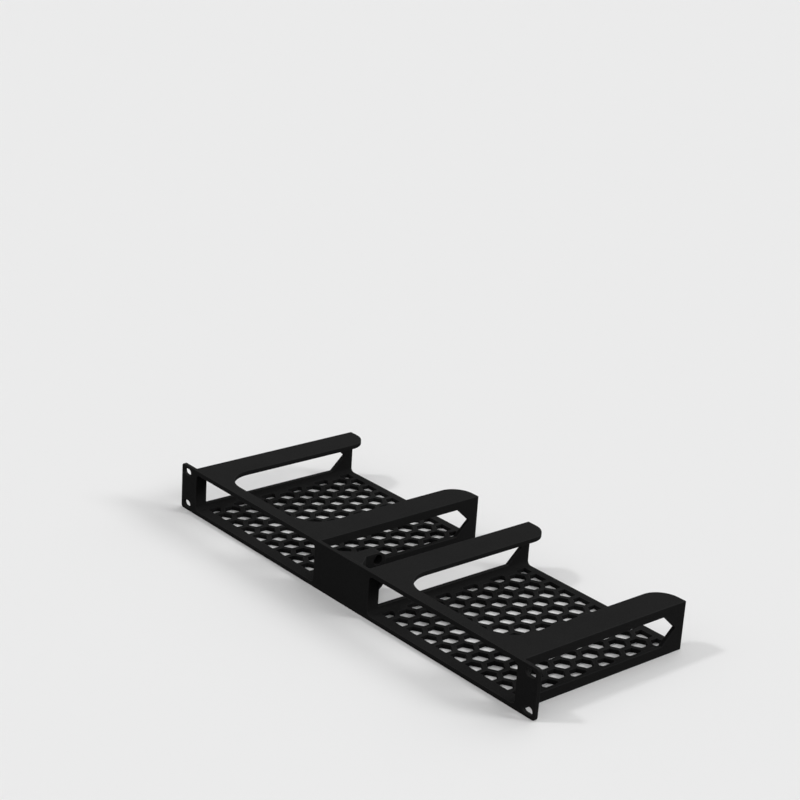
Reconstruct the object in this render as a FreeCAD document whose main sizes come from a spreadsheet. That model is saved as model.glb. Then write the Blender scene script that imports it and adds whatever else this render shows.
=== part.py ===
"""Rack-mount tray chassis, 1U high, as one parametric FreeCAD document.

Millimetres, +Z up.  The origin is the middle of the underside: X runs across
the front, Y from the front panel to the rear, Z up.  The chassis is one piece:
a front panel with ears, two open-topped bays with honeycomb floors and windowed
side walls, and a joining rib between the bays.  Its sketches measure depth from
the front face, and the body's Placement moves it forward by half its depth.
"""
import FreeCAD, Part
import math
import os
import re
import Sketcher
from FreeCAD import Vector

NODE = "rack_chassis"

# ---------------------------------------------------------------- driving sizes
SIZES = [
    # alias, value in mm (or a count), what it is
    ("panel_width", 482.6, "front panel, ear tip to ear tip (19 inch rack)"),
    ("panel_height", 44.45, "front panel and bays, one rack unit"),
    ("panel_thickness", 3.5, "front panel and ears"),
    ("panel_corner_radius", 3.0, "corners of the ears"),
    ("slot_spacing_across", 465.1, "ear slots, centre to centre across the rack"),
    ("slot_spacing_up", 31.75, "ear slots, centre to centre upwards"),
    ("slot_length", 11.0, "ear slot, end to end"),
    ("slot_width", 6.6, "ear slot, across"),
    ("bay_gap", 66.6, "clear width between the two bays"),
    ("bay_width", 188.6, "one bay over its outer faces"),
    ("bay_depth", 186.0, "front face to the rear ends of the bays"),
    ("wall_thickness", 4.0, "bay side walls"),
    ("floor_thickness", 4.2, "bay floors"),
    ("flange_thickness", 4.4, "bay top flanges and front bridge"),
    ("flange_width", 29.0, "top flange, from the wall's outer face"),
    ("bay_fillet", 4.0, "inside corners along each bay"),
    ("bridge_depth", 12.0, "strip behind the panel that joins the two flanges"),
    ("opening_front_radius", 28.0, "front corners of a bay's top opening"),
    ("flange_end_radius", 20.0, "rear inner corner of each flange"),
    ("window_front", 12.0, "front face to the straight front end of a window"),
    ("window_length", 164.5, "window, front end to rear point"),
    ("window_point", 14.8, "length of the window's pointed rear end"),
    ("window_height", 27.2, "window, across"),
    ("window_middle", 22.5, "height of the window's middle line"),
    ("cell_flats", 14.1, "honeycomb cell, across flats"),
    ("cell_web", 4.25, "web between two cells"),
    ("cell_columns", 10, "columns of whole and cut cells in a bay"),
    ("cell_row_pairs", 6, "rows in the first set, one more than in the second"),
    ("cell_first_x", 10.9, "bay's left outer face to the first column's middle"),
    ("cell_first_y", 15.4, "front face to the first row's middle"),
    ("border_side", 8.0, "solid floor border beside a wall, from its outer face"),
    ("border_front", 12.0, "solid floor border at the front, from the front face"),
    ("border_rear", 8.0, "solid floor border at the rear"),
    ("rib_thickness", 12.0, "joining rib, across"),
    ("rib_depth", 44.0, "front face to the rear end of the rib"),
    ("rib_corner_radius", 8.0, "rear corners of the rib"),
    ("rib_hole", 5.5, "bolt holes across the rib, diameter"),
    ("rib_counterbore", 9.2, "counterbores for the bolt heads, diameter"),
    ("counterbore_depth", 7.7, "counterbores, from the rib's right face"),
    ("rib_hole_spacing", 22.4, "bolt holes, centre to centre upwards"),
    ("rib_hole_back", 8.4, "rib's rear end to the bolt holes' middle"),
    ("gusset_width", 15.0, "gusset beside the rib, along the panel"),
    ("gusset_depth", 22.0, "front face to the rear tip of a gusset"),
]

doc = FreeCAD.newDocument("RackChassis")
sheet = doc.addObject("Spreadsheet::Sheet", "Sizes")
for row, (alias, value, note) in enumerate(SIZES, start=1):
    sheet.set(f"A{row}", alias)
    sheet.set(f"B{row}", str(value))
    sheet.set(f"C{row}", note)
    sheet.setAlias(f"B{row}", alias)
doc.recompute()


def named(text):
    """Turn bare size names in an expression into references to the sheet."""
    return re.sub(r"\b([a-z]+_[a-z_]+)\b", r"Sizes.\1", text)


# Places used by several features, written in the sheet's names.
BAY_TOP = "(panel_height - flange_thickness)"
CELL_PITCH = "(cell_flats + cell_web)"
CELL_ROW = f"({CELL_PITCH} * sqrt(3) / 2)"


# ------------------------------------------------------------- sketch utilities
def origin_plane(body, role):
    """The body's own origin plane with the given role."""
    return next(item for item in body.Origin.OriginFeatures if item.Role == role)


def new_sketch(body, role, name, lift=None):
    """An empty sketch on one of the body's origin planes, lifted along its normal."""
    sketch = body.newObject("Sketcher::SketchObject", name)
    sketch.AttachmentSupport = [(origin_plane(body, role), "")]
    sketch.MapMode = "FlatFace"
    if lift is not None:
        sketch.setExpression(".AttachmentOffset.Base.z", named(lift))
    return sketch


def hold(sketch, kind, geometry, point, expression):
    """Place a point at a distance from the sketch's origin, bound to the sheet."""
    value = evaluate(expression)
    index = sketch.addConstraint(Sketcher.Constraint(kind, -1, 1, geometry, point, value))
    sketch.setExpression(f"Constraints[{index}]", named(expression))


def evaluate(expression):
    """The value of an expression in the sheet's names, for a sketch's first guess."""
    return float(sheet.evalExpression(named(expression).replace("Sizes.", "")))


def outline(sketch, corners):
    """A closed polygon.  Each corner is a pair of expressions."""
    points = [Vector(evaluate(x), evaluate(y), 0) for x, y in corners]
    first = len(sketch.Geometry)
    count = len(points)
    for i, point in enumerate(points):
        sketch.addGeometry(Part.LineSegment(point, points[(i + 1) % count]), False)
    for i in range(count):
        following = first + (i + 1) % count
        sketch.addConstraint(Sketcher.Constraint("Coincident", first + i, 2, following, 1))
    for i, (x, y) in enumerate(corners):
        hold(sketch, "DistanceX", first + i, 1, x)
        hold(sketch, "DistanceY", first + i, 1, y)


def rounded_outline(sketch, corners):
    """A closed outline of level and upright edges, anticlockwise.

    Each corner is (x, y, radius), three expressions, with radius None where sharp.
    """
    count = len(corners)
    points = [Vector(evaluate(x), evaluate(y), 0) for x, y, _ in corners]
    radii = [0.0 if radius is None else evaluate(radius) for _, _, radius in corners]
    along = [(points[(i + 1) % count] - points[i]).normalize() for i in range(count)]
    lines = []
    for i in range(count):
        start = points[i] + along[i] * radii[i]
        end = points[(i + 1) % count] - along[i] * radii[(i + 1) % count]
        lines.append(sketch.addGeometry(Part.LineSegment(start, end), False))
    for i, (x, y, radius) in enumerate(corners):
        upright = abs(along[i].x) < abs(along[i].y)
        sketch.addConstraint(Sketcher.Constraint("Vertical" if upright else "Horizontal", lines[i]))
        if upright:
            hold(sketch, "DistanceX", lines[i], 1, x)
        else:
            hold(sketch, "DistanceY", lines[i], 1, y)
        before = lines[i - 1]
        if radius is None:
            sketch.addConstraint(Sketcher.Constraint("Coincident", before, 2, lines[i], 1))
        else:
            round_corner(sketch, before, lines[i], points[i], along[i - 1], along[i], radius)


def round_corner(sketch, before, after, corner, way_in, way_out, radius):
    """An arc, tangent to the lines before and after a corner."""
    size = evaluate(radius)
    centre = corner + (way_out - way_in) * size
    turn_left = way_in.cross(way_out).z > 0
    start = corner - way_in * size - centre
    end = corner + way_out * size - centre
    if not turn_left:
        start, end = end, start
    angles = [math.atan2(side.y, side.x) for side in (start, end)]
    circle = Part.Circle(centre, Vector(0, 0, 1), size)
    arc = sketch.addGeometry(Part.ArcOfCircle(circle, *angles), False)
    near, far = (1, 2) if turn_left else (2, 1)
    sketch.addConstraint(Sketcher.Constraint("Tangent", before, 2, arc, near))
    sketch.addConstraint(Sketcher.Constraint("Tangent", arc, far, after, 1))
    index = sketch.addConstraint(Sketcher.Constraint("Radius", arc, size))
    sketch.setExpression(f"Constraints[{index}]", named(radius))


def rectangle(sketch, left, bottom, right, top, radius=None):
    """A rectangle from four expressions, with rounded corners where radius is given."""
    corners = [(left, bottom), (right, bottom), (right, top), (left, top)]
    rounded_outline(sketch, [(x, y, radius) for x, y in corners])


def slot(sketch, x, y):
    """An ear slot lying along X, its middle at a pair of expressions."""
    half = evaluate("(slot_length - slot_width) / 2")
    size = evaluate("slot_width / 2")
    middle = Vector(evaluate(x), evaluate(y), 0)
    arcs = []
    for side in (1, -1):
        circle = Part.Circle(middle + Vector(side * half, 0, 0), Vector(0, 0, 1), size)
        angles = [-math.pi / 2, math.pi / 2] if side > 0 else [math.pi / 2, 3 * math.pi / 2]
        arcs.append(sketch.addGeometry(Part.ArcOfCircle(circle, *angles), False))
    right, left = arcs
    up = Vector(0, size, 0)
    across = Vector(half, 0, 0)
    top = sketch.addGeometry(Part.LineSegment(middle + across + up, middle - across + up), False)
    base = sketch.addGeometry(Part.LineSegment(middle - across - up, middle + across - up), False)
    for first, first_end, second, second_end in (
        (right, 2, top, 1),
        (top, 2, left, 1),
        (left, 2, base, 1),
        (base, 2, right, 1),
    ):
        sketch.addConstraint(
            Sketcher.Constraint("Tangent", first, first_end, second, second_end)
        )
    sketch.addConstraint(Sketcher.Constraint("Horizontal", top))
    index = sketch.addConstraint(Sketcher.Constraint("Radius", right, size))
    sketch.setExpression(f"Constraints[{index}]", named("slot_width / 2"))
    for arc, side in ((right, "+"), (left, "-")):
        hold(sketch, "DistanceX", arc, 3, f"{x} {side} (slot_length - slot_width) / 2")
    hold(sketch, "DistanceY", right, 3, y)


# -------------------------------------------------------------- feature utilities
def pad(body, sketch, name, length, backwards=False, both_ways=False):
    """Add material from a sketch, its length bound to the sheet."""
    feature = body.newObject("PartDesign::Pad", name)
    feature.Profile = sketch
    feature.setExpression("Length", named(length))
    feature.Reversed = backwards
    if both_ways:
        feature.SideType = "Symmetric"
    return must_change(body, feature, grows=True)


def pocket(body, sketch, name, depth=None, backwards=False, both_ways=False):
    """Take material away along a sketch's normal, right through when depth is None."""
    feature = body.newObject("PartDesign::Pocket", name)
    feature.Profile = sketch
    if depth is None:
        feature.Type = "ThroughAll"
    else:
        feature.setExpression("Length", named(depth))
    feature.Reversed = backwards
    if both_ways:
        feature.SideType = "Symmetric"
    return must_change(body, feature, grows=False)


def must_change(body, feature, grows):
    """Recompute, and stop if the feature did not add or remove material."""
    before = getattr(body, "VolumeSoFar", 0.0)
    doc.recompute()
    body.Tip = feature
    after = feature.Shape.Volume
    changed = after > before + 1 if grows else after < before - 1
    if not changed:
        raise RuntimeError(f"{feature.Name} leaves the volume at {after:.0f} from {before:.0f}")
    body.VolumeSoFar = after
    return feature


# ------------------------------------------------------------------- the chassis
body = doc.addObject("PartDesign::Body", "RackChassis")
body.Label = NODE
body.addProperty("App::PropertyFloat", "VolumeSoFar", "Build", "Volume after the last feature")
body.setExpression("Placement.Base.y", named("-bay_depth / 2"))

# Each bay is drawn from its left outer face.
BAYS = {"Left": "-(bay_gap / 2 + bay_width)", "Right": "bay_gap / 2"}


def front_panel():
    """The panel with its two ears and four slots."""
    sketch = new_sketch(body, "XZ_Plane", "PanelOutline")
    half = "panel_width / 2"
    corner = "panel_corner_radius"
    rounded_outline(
        sketch,
        [
            (f"-{half}", "0", corner),
            (half, "0", corner),
            (half, "panel_height", corner),
            (f"-{half}", "panel_height", corner),
        ],
    )
    for side in ("-", ""):
        for way in ("-", "+"):
            slot(
                sketch,
                f"{side}slot_spacing_across / 2",
                f"(panel_height {way} slot_spacing_up) / 2",
            )
    pad(body, sketch, "Panel", "panel_thickness", backwards=True)


def bay_blocks():
    """Two blocks behind the panel, hollowed into tubes that open to front and rear."""
    blocks = new_sketch(body, "XZ_Plane", "BayOutlines")
    insides = []
    for left in BAYS.values():
        right = f"{left} + bay_width"
        rectangle(blocks, left, "0", right, "panel_height")
        insides.append((f"{left} + wall_thickness", f"{right} - wall_thickness"))
    pad(body, blocks, "Bays", "bay_depth", backwards=True)
    hollow = new_sketch(body, "XZ_Plane", "BayInsides")
    for inner_left, inner_right in insides:
        rectangle(hollow, inner_left, "floor_thickness", inner_right, BAY_TOP, "bay_fillet")
    pocket(body, hollow, "Hollows")


def top_openings():
    """Open each bay's top, leaving the front bridge and a flange along each wall."""
    sketch = new_sketch(body, "XY_Plane", "TopOpenings", lift="panel_height")
    for left in BAYS.values():
        right = f"{left} + bay_width"
        inner_left = f"{left} + flange_width"
        inner_right = f"{right} - flange_width"
        beyond = "bay_depth + flange_end_radius"
        rounded_outline(
            sketch,
            [
                (inner_left, "bridge_depth", "opening_front_radius"),
                (inner_right, "bridge_depth", "opening_front_radius"),
                (inner_right, "bay_depth", "flange_end_radius"),
                (right, "bay_depth", None),
                (right, beyond, None),
                (left, beyond, None),
                (left, "bay_depth", None),
                (inner_left, "bay_depth", "flange_end_radius"),
            ],
        )
    pocket(body, sketch, "TopsOpened", "panel_height / 2")


def wall_windows():
    """One long window through all four walls, straight in front and pointed behind."""
    sketch = new_sketch(body, "YZ_Plane", "WindowOutline")
    low = "window_middle - window_height / 2"
    high = "window_middle + window_height / 2"
    tip = "window_front + window_length"
    outline(
        sketch,
        [
            ("window_front", low),
            (f"{tip} - window_point", low),
            (tip, "window_middle"),
            (f"{tip} - window_point", high),
            ("window_front", high),
        ],
    )
    pocket(body, sketch, "Windows", both_ways=True)


def honeycomb():
    """Two staggered sets of six-sided cells through the floors, then the solid border."""
    sets = (
        ("Even", "cell_first_x", "cell_first_y", "cell_columns", "cell_row_pairs"),
        (
            "Odd",
            f"cell_first_x + {CELL_PITCH} / 2",
            f"cell_first_y + {CELL_ROW}",
            "cell_columns - 1",
            "cell_row_pairs - 1",
        ),
    )
    for name, first_x, first_y, columns, rows in sets:
        sketch = new_sketch(body, "XY_Plane", f"{name}Cells")
        for left in BAYS.values():
            cell(sketch, f"{left} + {first_x}", first_y)
        cut = pocket(body, sketch, f"{name}CellCut", "floor_thickness", backwards=True)
        pattern = body.newObject("PartDesign::LinearPattern", f"{name}CellPattern")
        pattern.Originals = [cut]
        pattern.Refine = False
        pattern.Direction = (sketch, ["H_Axis"])
        pattern.Direction2 = (sketch, ["V_Axis"])
        pattern.setExpression("Length", named(f"{CELL_PITCH} * ({columns} - 1)"))
        pattern.setExpression("Length2", named(f"2 * {CELL_ROW} * ({rows} - 1)"))
        pattern.setExpression("Occurrences", named(columns))
        pattern.setExpression("Occurrences2", named(rows))
        must_change(body, pattern, grows=False)
    border = new_sketch(body, "XY_Plane", "FloorBorder")
    for left in BAYS.values():
        right = f"{left} + bay_width"
        rectangle(border, left, "0", right, "bay_depth")
        rectangle(
            border,
            f"{left} + border_side",
            "border_front",
            f"{right} - border_side",
            "bay_depth - border_rear",
        )
    pad(body, border, "Border", "floor_thickness")


def cell(sketch, x, y):
    """A six-sided cell with two sides along Y, its middle at a pair of expressions."""
    flat = "cell_flats / 2"
    side = "cell_flats / sqrt(3)"
    outline(
        sketch,
        [
            (f"{x} - {flat}", f"{y} + {side} / 2"),
            (f"{x} - {flat}", f"{y} - {side} / 2"),
            (x, f"{y} - {side}"),
            (f"{x} + {flat}", f"{y} - {side} / 2"),
            (f"{x} + {flat}", f"{y} + {side} / 2"),
            (x, f"{y} + {side}"),
        ],
    )


def joining_rib():
    """The rib behind the panel's middle, its gussets and its two counterbored bolt holes."""
    profile = new_sketch(body, "YZ_Plane", "RibOutline")
    corner = "rib_corner_radius"
    rounded_outline(
        profile,
        [
            ("panel_thickness / 2", "floor_thickness", None),
            ("rib_depth", "floor_thickness", corner),
            ("rib_depth", BAY_TOP, corner),
            ("panel_thickness / 2", BAY_TOP, None),
        ],
    )
    pad(body, profile, "Rib", "rib_thickness", both_ways=True)
    wedge = new_sketch(body, "XY_Plane", "GussetOutline", lift="floor_thickness")
    foot = "rib_thickness / 2 + gusset_width"
    outline(
        wedge,
        [
            (f"-({foot})", "panel_thickness / 2"),
            (foot, "panel_thickness / 2"),
            (foot, "panel_thickness"),
            ("rib_thickness / 2", "gusset_depth"),
            ("-rib_thickness / 2", "gusset_depth"),
            (f"-({foot})", "panel_thickness"),
        ],
    )
    pad(body, wedge, "Gussets", f"{BAY_TOP} - floor_thickness")
    through = new_sketch(body, "YZ_Plane", "RibHoles")
    heads = new_sketch(body, "YZ_Plane", "RibCounterbores", lift="rib_thickness / 2")
    for sketch, diameter in ((through, "rib_hole"), (heads, "rib_counterbore")):
        for way in ("-", "+"):
            height = f"(panel_height {way} rib_hole_spacing) / 2"
            ring(sketch, "rib_depth - rib_hole_back", height, diameter)
    pocket(body, through, "RibHolesCut", "rib_thickness", both_ways=True)
    pocket(body, heads, "RibCounterboresCut", "counterbore_depth")


def ring(sketch, x, y, diameter):
    """A circle, its middle and its diameter given by expressions."""
    middle = Vector(evaluate(x), evaluate(y), 0)
    size = evaluate(diameter) / 2
    circle = sketch.addGeometry(Part.Circle(middle, Vector(0, 0, 1), size), False)
    hold(sketch, "DistanceX", circle, 3, x)
    hold(sketch, "DistanceY", circle, 3, y)
    index = sketch.addConstraint(Sketcher.Constraint("Radius", circle, size))
    sketch.setExpression(f"Constraints[{index}]", named(f"{diameter} / 2"))


front_panel()
bay_blocks()
top_openings()
wall_windows()
honeycomb()
joining_rib()
doc.recompute()

# ------------------------------------------------------------- check, then write
for item in doc.Objects:
    if "Invalid" in item.State or "Error" in item.State:
        raise RuntimeError(f"{item.Label} failed: {item.State}")
shape = body.Shape
if shape.isNull() or not shape.isValid() or len(shape.Solids) != 1:
    raise RuntimeError(f"{body.Label} is not one valid solid")
os.makedirs("parts", exist_ok=True)
shape.exportStep(f"parts/{body.Label}.step")
box = shape.BoundBox
print(f"{body.Label}: {box.XLength:.2f} x {box.YLength:.2f} x {box.ZLength:.2f} mm, ", end="")
print(f"{shape.Volume / 1000:.1f} cm3, {len(shape.Faces)} faces")
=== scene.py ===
import math

import bmesh
import bpy
from bpy.props import FloatProperty, FloatVectorProperty, IntProperty, PointerProperty
from bpy.types import Operator, Panel, PropertyGroup
from mathutils import Matrix, Vector


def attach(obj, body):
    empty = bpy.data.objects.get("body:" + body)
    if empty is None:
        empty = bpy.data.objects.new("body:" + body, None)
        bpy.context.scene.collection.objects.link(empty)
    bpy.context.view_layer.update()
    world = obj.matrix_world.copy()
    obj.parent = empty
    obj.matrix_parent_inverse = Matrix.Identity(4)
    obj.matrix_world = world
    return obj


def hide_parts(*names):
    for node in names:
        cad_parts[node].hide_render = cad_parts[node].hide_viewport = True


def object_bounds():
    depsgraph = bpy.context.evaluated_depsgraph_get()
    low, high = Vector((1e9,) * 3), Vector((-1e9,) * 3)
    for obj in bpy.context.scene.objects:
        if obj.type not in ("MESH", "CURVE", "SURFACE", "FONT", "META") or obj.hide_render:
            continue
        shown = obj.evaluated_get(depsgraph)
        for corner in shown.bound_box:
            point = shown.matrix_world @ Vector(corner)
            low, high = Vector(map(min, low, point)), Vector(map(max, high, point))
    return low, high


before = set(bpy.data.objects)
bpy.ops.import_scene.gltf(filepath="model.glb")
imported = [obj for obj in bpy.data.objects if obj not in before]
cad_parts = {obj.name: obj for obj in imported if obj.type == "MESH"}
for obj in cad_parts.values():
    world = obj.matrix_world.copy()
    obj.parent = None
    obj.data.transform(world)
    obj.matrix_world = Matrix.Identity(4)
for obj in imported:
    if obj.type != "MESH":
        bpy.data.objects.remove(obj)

bl_info = {
    "name": "Rack Chassis Finish",
    "version": (1, 0, 0),
    "blender": (4, 5, 0),
    "location": "3D View > Sidebar > Rack Chassis",
    "description": "Dresses a rack-mount tray chassis in matte black, on a pale studio floor",
    "category": "Object",
}

NODE = "rack_chassis"
CAD_BOX = [list(corner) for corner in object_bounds()]

SKIN_MATERIAL = "Chassis Skin"
# The rounded edges' material, whose paler black is a painted highlight.
EDGE_HIGHLIGHT_MATERIAL = "Chassis Edge Painted Highlight"

# The shell: points closer than this are one, faces flatter than this are joined, and edges
# sharper than this are rounded.  Its shading follows its largest faces.
WELD_DISTANCE = 1e-6
FLAT_ANGLE = math.radians(0.2)
SHARP_ANGLE = math.radians(35)
LARGEST_FACE_WEIGHT = 100

# The fine grain: how soft its pebbles are, how many specks of fine noise lie across a pebble and
# how finely they break up, the pebbles' share of the relief, and its mean height. The relief also
# sets the painted shade in the grain's hollows.
PEBBLE_SMOOTHNESS = 0.6
RELIEF_NOISE_PER_PEBBLE = 2.3
RELIEF_NOISE_DETAIL = 2.0
PEBBLE_SHARE = 0.7
MEAN_HOLLOW = 0.42

# The sheen: clouds and handling marks in each metre, and how finely they break up.
NOISE_MEAN = 0.5
CLOUDS_PER_METRE = 28.0
CLOUD_DETAIL = 3.0
MARKS_PER_METRE = 140.0
MARK_DETAIL = 4.0
MARK_RAGGEDNESS = 0.7
MARK_START = 0.62

# The floor: its outline's sides, and how far it lies under the chassis.
FLOOR_SIDES = 96
FLOOR_DROP = 0.0001

# The camera: its sensor's width in millimetres, and how far it sees.
SENSOR_WIDTH = 36.0
SIGHT_LIMIT = 200.0

# How far off the lamps are drawn.  Their light comes from very far away.
LAMP_DISTANCE = 3.0

# The studio's lamps: name, compass bearing they shine from (0 is behind the chassis, 90 is its
# right end), height above the horizon, angular width, strength.
LAMPS = (
    ("Key", 217.0, 49.0, 7.0, 0.60),
    ("Right Rear", 50.0, 30.0, 18.0, 1.00),
    ("Rear Softbox", 0.0, 48.0, 70.0, 1.10),
    ("Front Softbox", 180.0, 45.0, 70.0, 0.48),
    ("Right Softbox", 115.0, 30.0, 50.0, 0.35),
)


# ------------------------------------------------------------------------ what a user can change
class ChassisFinishSettings(PropertyGroup):
    """The chassis's edges and matte black surface."""

    edge_radius: FloatProperty(
        name="Edge Radius",
        description="How far every sharp outer edge is rounded",
        default=0.0004,
        min=0.0,
        max=0.001,
        unit="LENGTH",
    )
    edge_steps: IntProperty(
        name="Edge Steps",
        description="Faces across each rounded edge",
        default=2,
        min=1,
        max=4,
    )
    skin_colour: FloatVectorProperty(
        name="Skin Colour",
        description="The matte black of the flat faces",
        default=(0.0140, 0.0140, 0.0140),
        size=3,
        min=0.0,
        max=1.0,
        subtype="COLOR",
    )
    # Painted highlight: the rounded edges get a paler black than the flat faces.
    edge_highlight_colour: FloatVectorProperty(
        name="Edge Highlight Colour",
        description="The slightly paler black where handling has rubbed the edges",
        default=(0.0165, 0.0165, 0.0165),
        size=3,
        min=0.0,
        max=1.0,
        subtype="COLOR",
    )
    roughness: FloatProperty(
        name="Roughness",
        description="Roughness of the flat faces",
        default=0.80,
        min=0.0,
        max=1.0,
        subtype="FACTOR",
    )
    # Roughness and specular level of the rounded edges, which carry the painted highlight.
    edge_roughness: FloatProperty(
        name="Edge Roughness",
        description="Roughness of the rubbed edges",
        default=0.65,
        min=0.0,
        max=1.0,
        subtype="FACTOR",
    )
    gloss: FloatProperty(
        name="Gloss",
        description="Specular level of the flat faces",
        default=0.02,
        min=0.0,
        max=1.0,
        subtype="FACTOR",
    )
    edge_gloss: FloatProperty(
        name="Edge Gloss",
        description="Specular level of the rubbed edges",
        default=0.04,
        min=0.0,
        max=1.0,
        subtype="FACTOR",
    )
    grain_size: FloatProperty(
        name="Grain Size",
        description="Size of one grain of the fine surface texture",
        default=0.0006,
        min=0.0001,
        max=0.005,
        unit="LENGTH",
    )
    grain_depth: FloatProperty(
        name="Grain Depth",
        description="Height of the fine surface texture",
        default=0.00006,
        min=0.0,
        max=0.0005,
        unit="LENGTH",
    )
    # Painted shade: how much darker in colour the grain's hollows are painted than its tops.
    grain_hollow_shade: FloatProperty(
        name="Grain Hollow Shade",
        description="How much darker the hollows of the grain are than its tops",
        default=0.9,
        min=0.0,
        max=2.0,
    )


class StudioSettings(PropertyGroup):
    """The floor, the even light from all round and the camera."""

    floor_colour: FloatVectorProperty(
        name="Floor Colour",
        description="The pale floor and backdrop",
        default=(0.86, 0.86, 0.86),
        size=3,
        min=0.0,
        max=1.0,
        subtype="COLOR",
    )
    floor_bounce: FloatProperty(
        name="Floor Bounce",
        description="Share of its light that the floor throws back up on the chassis",
        default=0.05,
        min=0.0,
        max=1.0,
        subtype="FACTOR",
    )
    floor_radius: FloatProperty(
        name="Floor Radius",
        description="How far the floor reaches from the chassis",
        default=40.0,
        min=1.0,
        unit="LENGTH",
    )
    sky_level: FloatProperty(
        name="Sky Level",
        description="Light that comes evenly from all round",
        default=0.24,
        min=0.0,
        max=2.0,
    )
    camera_place: FloatVectorProperty(
        name="Camera Place",
        description="Where the camera stands",
        default=(1.12051, -1.01582, 0.71730),
        size=3,
        subtype="TRANSLATION",
        unit="LENGTH",
    )
    camera_bearing: FloatProperty(
        name="Camera Bearing",
        description="Turn of the camera's view from straight at the front panel",
        default=-0.853901,
        subtype="ANGLE",
    )
    camera_tilt: FloatProperty(
        name="Camera Tilt",
        description="Slope of the camera's view, negative when it looks down",
        default=-0.350368,
        subtype="ANGLE",
    )
    camera_roll: FloatProperty(
        name="Camera Roll",
        description="Turn of the picture about the camera's own view",
        default=0.065150,
        subtype="ANGLE",
    )
    camera_lens: FloatProperty(
        name="Focal Length",
        description="Focal length on a 36 mm wide sensor, in millimetres",
        default=85.004,
        min=10.0,
        max=300.0,
    )


# ------------------------------------------------------------------------------ shader utilities
def new_group(name, inputs, outputs):
    """An empty shader node group with named float inputs and outputs, ready to be wired."""
    group = bpy.data.node_groups.new(name, "ShaderNodeTree")
    for label, default in inputs:
        socket = group.interface.new_socket(label, in_out="INPUT", socket_type="NodeSocketFloat")
        socket.default_value = default
    for label, kind in outputs:
        group.interface.new_socket(label, in_out="OUTPUT", socket_type=kind)
    entry = group.nodes.new("NodeGroupInput")
    leave = group.nodes.new("NodeGroupOutput")
    return group, entry, leave


def math_node(tree, operation, first, second):
    """A Math node fed by two sockets or numbers; returns its output socket."""
    node = tree.nodes.new("ShaderNodeMath")
    node.operation = operation
    for socket, source in zip(node.inputs, (first, second)):
        if isinstance(source, (int, float)):
            socket.default_value = source
        else:
            tree.links.new(source, socket)
    return node.outputs[0]


def noise_node(tree, place, scale, detail, roughness=0.5):
    """A Noise Texture over a place socket; returns its value, which averages one half."""
    node = tree.nodes.new("ShaderNodeTexNoise")
    node.inputs["Detail"].default_value = detail
    node.inputs["Roughness"].default_value = roughness
    tree.links.new(place, node.inputs["Vector"])
    if isinstance(scale, (int, float)):
        node.inputs["Scale"].default_value = scale
    else:
        tree.links.new(scale, node.inputs["Scale"])
    return node.outputs["Fac"]


def object_place(tree):
    """The socket that gives a surface point's place in the chassis's own frame."""
    return tree.nodes.new("ShaderNodeTexCoord").outputs["Object"]


def grain_relief_and_hollow_shade_group():
    """Fine pebbled texture: its height in metres, and a painted shade that darkens its hollows and
    lightens its tops.
    """
    name = "Fine Grain"
    if name in bpy.data.node_groups:
        return bpy.data.node_groups[name]
    group, entry, leave = new_group(
        name,
        (("Grain Size", 0.0006), ("Depth", 0.00005), ("Contrast", 0.9)),
        (("Height", "NodeSocketFloat"), ("Shade", "NodeSocketFloat")),
    )
    place = object_place(group)
    scale = math_node(group, "DIVIDE", 1.0, entry.outputs["Grain Size"])
    pebbles = group.nodes.new("ShaderNodeTexVoronoi")
    pebbles.feature = "SMOOTH_F1"
    pebbles.inputs["Smoothness"].default_value = PEBBLE_SMOOTHNESS
    group.links.new(place, pebbles.inputs["Vector"])
    group.links.new(scale, pebbles.inputs["Scale"])
    relief_noise_scale = math_node(group, "MULTIPLY", scale, RELIEF_NOISE_PER_PEBBLE)
    relief_noise = noise_node(group, place, relief_noise_scale, RELIEF_NOISE_DETAIL)
    hollows = math_node(
        group, "ADD", math_node(group, "MULTIPLY", pebbles.outputs["Distance"], PEBBLE_SHARE),
        math_node(group, "MULTIPLY", relief_noise, 1.0 - PEBBLE_SHARE),
    )
    raised = math_node(group, "SUBTRACT", MEAN_HOLLOW, hollows)
    group.links.new(
        math_node(group, "MULTIPLY", raised, entry.outputs["Depth"]), leave.inputs["Height"]
    )
    # Painted shade: the colour is darker in the grain's hollows and paler on its tops.
    group.links.new(
        math_node(
            group, "ADD", 1.0, math_node(group, "MULTIPLY", raised, entry.outputs["Contrast"])
        ),
        leave.inputs["Shade"],
    )
    return group


def uneven_sheen_group():
    """Large soft clouds in the sheen, as a moulded black surface has, and faint handling marks."""
    name = "Uneven Sheen"
    if name in bpy.data.node_groups:
        return bpy.data.node_groups[name]
    group, entry, leave = new_group(
        name,
        (("Roughness", 0.8), ("Cloud Amount", 0.08), ("Mark Amount", 0.3), ("Contrast", 0.35)),
        (("Roughness", "NodeSocketFloat"), ("Shade", "NodeSocketFloat")),
    )
    place = object_place(group)
    clouds = math_node(
        group, "SUBTRACT", noise_node(group, place, CLOUDS_PER_METRE, CLOUD_DETAIL), NOISE_MEAN
    )
    marks = noise_node(group, place, MARKS_PER_METRE, MARK_DETAIL, MARK_RAGGEDNESS)
    rubbed = math_node(group, "MAXIMUM", math_node(group, "SUBTRACT", marks, MARK_START), 0.0)
    cloudy = math_node(group, "MULTIPLY", clouds, entry.outputs["Cloud Amount"])
    smoother = math_node(group, "MULTIPLY", rubbed, entry.outputs["Mark Amount"])
    group.links.new(
        math_node(
            group, "ADD", entry.outputs["Roughness"],
            math_node(group, "SUBTRACT", cloudy, smoother),
        ),
        leave.inputs["Roughness"],
    )
    group.links.new(
        math_node(
            group, "ADD", 1.0, math_node(group, "MULTIPLY", clouds, entry.outputs["Contrast"])
        ),
        leave.inputs["Shade"],
    )
    return group


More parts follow.
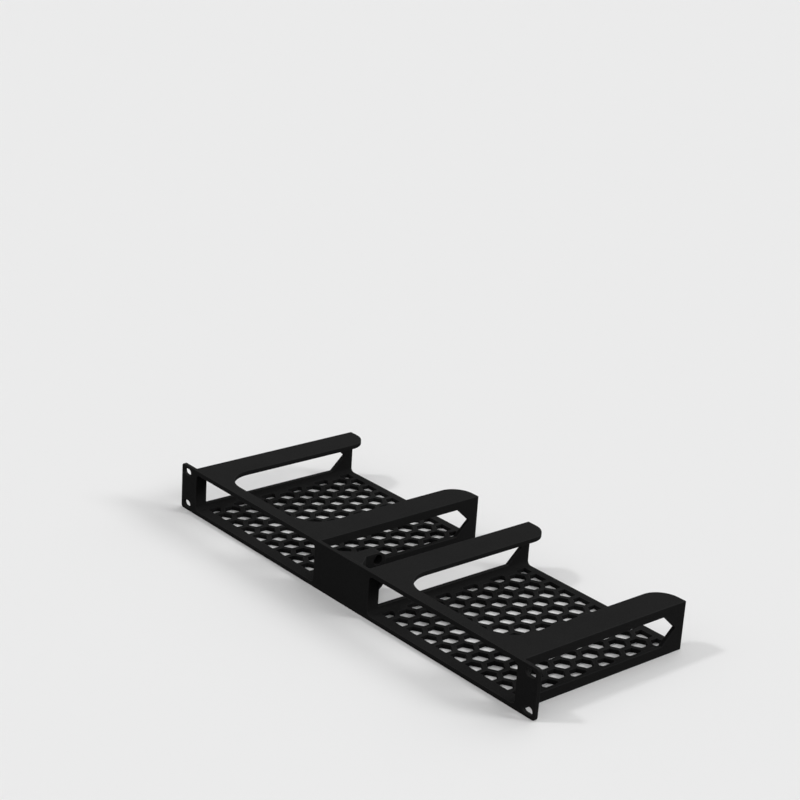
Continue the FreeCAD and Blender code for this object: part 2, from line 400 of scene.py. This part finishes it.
def matte_black(name, colour, roughness, gloss, settings):
    """A matte black plastic: fine grain in its relief, painted shade in the grain's hollows, soft
    clouds in its shade and sheen.
    """
    material = bpy.data.materials.new(name)
    material.use_nodes = True
    tree = material.node_tree
    shader = tree.nodes["Principled BSDF"]
    shader.inputs["Metallic"].default_value = 0.0
    shader.inputs["Specular IOR Level"].default_value = gloss

    grain = tree.nodes.new("ShaderNodeGroup")
    grain.node_tree = grain_relief_and_hollow_shade_group()
    grain.inputs["Grain Size"].default_value = settings.grain_size
    grain.inputs["Depth"].default_value = settings.grain_depth
    grain.inputs["Contrast"].default_value = settings.grain_hollow_shade

    sheen = tree.nodes.new("ShaderNodeGroup")
    sheen.node_tree = uneven_sheen_group()
    sheen.inputs["Roughness"].default_value = roughness

    shade = tree.nodes.new("ShaderNodeMix")
    shade.data_type = "RGBA"
    shade.blend_type = "MULTIPLY"
    shade.inputs["Factor"].default_value = 1.0
    shade.inputs["A"].default_value = (*colour, 1.0)
    # The base colour carries random cloud tone and painted shade in the grain's hollows.
    cloud_tone_and_hollow_shade = math_node(tree, "MULTIPLY", sheen.outputs["Shade"], grain.outputs["Shade"])
    tree.links.new(cloud_tone_and_hollow_shade, shade.inputs["B"])
    tree.links.new(shade.outputs["Result"], shader.inputs["Base Color"])
    tree.links.new(sheen.outputs["Roughness"], shader.inputs["Roughness"])

    relief = tree.nodes.new("ShaderNodeBump")
    relief.inputs["Strength"].default_value = 1.0
    relief.inputs["Distance"].default_value = 1.0
    tree.links.new(grain.outputs["Height"], relief.inputs["Height"])
    tree.links.new(relief.outputs["Normal"], shader.inputs["Normal"])
    return material


# ------------------------------------------------------------------------------------ the chassis
def softened_shell(source, radius, steps):
    """A copy of the chassis whose sharp edges are rounded, with the roundings in slot 1."""
    mesh = bpy.data.meshes.new("chassis_shell")
    work = bmesh.new()
    work.from_mesh(source.data)
    bmesh.ops.remove_doubles(work, verts=work.verts, dist=WELD_DISTANCE)
    bmesh.ops.dissolve_limit(work, angle_limit=FLAT_ANGLE, verts=work.verts, edges=work.edges)
    for face in work.faces:
        face.smooth = True
        face.material_index = 0
    work.to_mesh(mesh)
    work.free()
    shell = bpy.data.objects.new("chassis_shell", mesh)
    bpy.context.scene.collection.objects.link(shell)
    rounding = shell.modifiers.new("Edge Rounding", "BEVEL")
    rounding.width = radius
    rounding.segments = steps
    rounding.limit_method = "ANGLE"
    rounding.angle_limit = SHARP_ANGLE
    rounding.use_clamp_overlap = False
    # The roundings take slot 1, the paler black of the painted edge highlight.
    rounding.material = 1
    normals = shell.modifiers.new("Flat Faces", "WEIGHTED_NORMAL")
    normals.keep_sharp = False
    normals.weight = LARGEST_FACE_WEIGHT
    return shell


class RACKCHASSIS_OT_chassis(Operator):
    """Round the chassis's edges and give it its matte black finish"""

    bl_idname = "rack_chassis.dress_chassis"
    bl_label = "Dress Chassis"
    bl_options = {"REGISTER", "UNDO"}

    def execute(self, context):
        settings = context.scene.rack_chassis_finish
        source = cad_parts[NODE]
        skin = matte_black(
            SKIN_MATERIAL, settings.skin_colour, settings.roughness, settings.gloss, settings
        )
        # The rounded edges get a paler black: a painted highlight.
        edge = matte_black(
            EDGE_HIGHLIGHT_MATERIAL,
            settings.edge_highlight_colour,
            settings.edge_roughness,
            settings.edge_gloss,
            settings,
        )
        shell = softened_shell(source, settings.edge_radius, settings.edge_steps)
        shell.data.materials.append(skin)
        shell.data.materials.append(edge)
        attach(shell, "root")
        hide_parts(NODE)
        return {"FINISHED"}


# -------------------------------------------------------------------------------------- the stage
def directly_seen(tree):
    """One where a surface is seen straight, in a reflection or through glass, or else zero."""
    path = tree.nodes.new("ShaderNodeLightPath")
    straight = math_node(
        tree, "MAXIMUM", path.outputs["Is Camera Ray"], path.outputs["Is Glossy Ray"]
    )
    return math_node(tree, "MAXIMUM", straight, path.outputs["Is Transmission Ray"])


def floor_material(colour, bounce):
    """Plain matt floor that takes the chassis's shadow, and throws back part of its light."""
    material = bpy.data.materials.new("Studio Floor")
    material.use_nodes = True
    tree = material.node_tree
    shader = tree.nodes["Principled BSDF"]
    shader.inputs["Roughness"].default_value = 1.0
    shader.inputs["Specular IOR Level"].default_value = 0.0
    shade = tree.nodes.new("ShaderNodeMix")
    shade.data_type = "RGBA"
    shade.inputs["A"].default_value = (*(bounce * part for part in colour), 1.0)
    shade.inputs["B"].default_value = (*colour, 1.0)
    tree.links.new(directly_seen(tree), shade.inputs["Factor"])
    tree.links.new(shade.outputs["Result"], shader.inputs["Base Color"])
    return material


def add_floor(settings):
    """A wide disc at the chassis's underside."""
    mesh = bpy.data.meshes.new("studio_floor")
    work = bmesh.new()
    bmesh.ops.create_circle(
        work, cap_ends=True, segments=FLOOR_SIDES, radius=settings.floor_radius
    )
    work.to_mesh(mesh)
    work.free()
    floor = bpy.data.objects.new("studio_floor", mesh)
    floor.location.z = CAD_BOX[0][2] - FLOOR_DROP
    bpy.context.scene.collection.objects.link(floor)
    mesh.materials.append(floor_material(settings.floor_colour, settings.floor_bounce))


def add_sky(settings):
    """Even light from all round, and the floor's own colour where the floor ends."""
    world = bpy.data.worlds.new("Studio Sky")
    world.use_nodes = True
    tree = world.node_tree
    lit = tree.nodes["Background"]
    lit.inputs["Color"].default_value = (1.0, 1.0, 1.0, 1.0)
    lit.inputs["Strength"].default_value = settings.sky_level
    seen = tree.nodes.new("ShaderNodeBackground")
    seen.inputs["Color"].default_value = (*settings.floor_colour, 1.0)
    choice = tree.nodes.new("ShaderNodeMixShader")
    tree.links.new(directly_seen(tree), choice.inputs["Fac"])
    tree.links.new(lit.outputs["Background"], choice.inputs[1])
    tree.links.new(seen.outputs["Background"], choice.inputs[2])
    tree.links.new(choice.outputs["Shader"], tree.nodes["World Output"].inputs["Surface"])
    bpy.context.scene.world = world


def pointing(bearing, height):
    """The direction of a bearing and a height, both in radians.  Bearing 0 is to the rear."""
    level = math.cos(height)
    return Vector((math.sin(bearing) * level, math.cos(bearing) * level, math.sin(height)))


def add_lamp(name, bearing, height, width, strength):
    """A soft, distant lamp.  Bearing 0 shines from behind the chassis, 90 from its right end."""
    lamp = bpy.data.lights.new(name, "SUN")
    lamp.energy = strength
    lamp.angle = math.radians(width)
    lamp_object = bpy.data.objects.new(name, lamp)
    towards = pointing(math.radians(bearing), math.radians(height))
    lamp_object.rotation_euler = towards.to_track_quat("Z", "Y").to_euler()
    lamp_object.location = towards * LAMP_DISTANCE
    bpy.context.scene.collection.objects.link(lamp_object)


def add_camera(settings):
    """The camera, from its bearing, tilt and roll."""
    bearing, tilt, roll = settings.camera_bearing, settings.camera_tilt, settings.camera_roll
    ahead = pointing(bearing, tilt)
    level = Vector((math.cos(bearing), -math.sin(bearing), 0.0))
    upright = level.cross(ahead)
    right = math.cos(roll) * level + math.sin(roll) * upright
    up = -math.sin(roll) * level + math.cos(roll) * upright
    data = bpy.data.cameras.new("Studio Camera")
    data.sensor_width = SENSOR_WIDTH
    data.lens = settings.camera_lens
    data.clip_end = SIGHT_LIMIT
    camera = bpy.data.objects.new("Studio Camera", data)
    axes = Matrix((right, up, -ahead)).transposed()
    camera.matrix_world = Matrix.Translation(Vector(settings.camera_place)) @ axes.to_4x4()
    bpy.context.scene.collection.objects.link(camera)
    bpy.context.scene.camera = camera


class RACKCHASSIS_OT_stage(Operator):
    """Set out the pale floor, the soft lamps, the sky and the camera"""

    bl_idname = "rack_chassis.set_stage"
    bl_label = "Set Stage"
    bl_options = {"REGISTER", "UNDO"}

    def execute(self, context):
        settings = context.scene.rack_chassis_studio
        add_floor(settings)
        add_sky(settings)
        for lamp in LAMPS:
            add_lamp(*lamp)
        add_camera(settings)
        context.scene.view_settings.view_transform = "Standard"
        return {"FINISHED"}


# ------------------------------------------------------------------------------ panel and running
class RACKCHASSIS_PT_panel(Panel):
    """Sidebar panel with the finish and the studio settings"""

    bl_idname = "RACKCHASSIS_PT_panel"
    bl_label = "Rack Chassis"
    bl_space_type = "VIEW_3D"
    bl_region_type = "UI"
    bl_category = "Rack Chassis"

    def draw(self, context):
        for label, settings, operator in (
            ("Chassis", context.scene.rack_chassis_finish, RACKCHASSIS_OT_chassis),
            ("Studio", context.scene.rack_chassis_studio, RACKCHASSIS_OT_stage),
        ):
            box = self.layout.box()
            box.label(text=label)
            for name in settings.bl_rna.properties.keys():
                if name not in ("rna_type", "name"):
                    box.prop(settings, name)
            box.operator(operator.bl_idname)


CLASSES = (
    ChassisFinishSettings,
    StudioSettings,
    RACKCHASSIS_OT_chassis,
    RACKCHASSIS_OT_stage,
    RACKCHASSIS_PT_panel,
)


def register():
    for cls in CLASSES:
        bpy.utils.register_class(cls)
    bpy.types.Scene.rack_chassis_finish = PointerProperty(type=ChassisFinishSettings)
    bpy.types.Scene.rack_chassis_studio = PointerProperty(type=StudioSettings)


def unregister():
    del bpy.types.Scene.rack_chassis_studio
    del bpy.types.Scene.rack_chassis_finish
    for cls in reversed(CLASSES):
        bpy.utils.unregister_class(cls)


def main():
    register()
    bpy.ops.rack_chassis.dress_chassis()
    bpy.ops.rack_chassis.set_stage()
    bpy.context.view_layer.update()


if __name__ == "__main__":
    main()
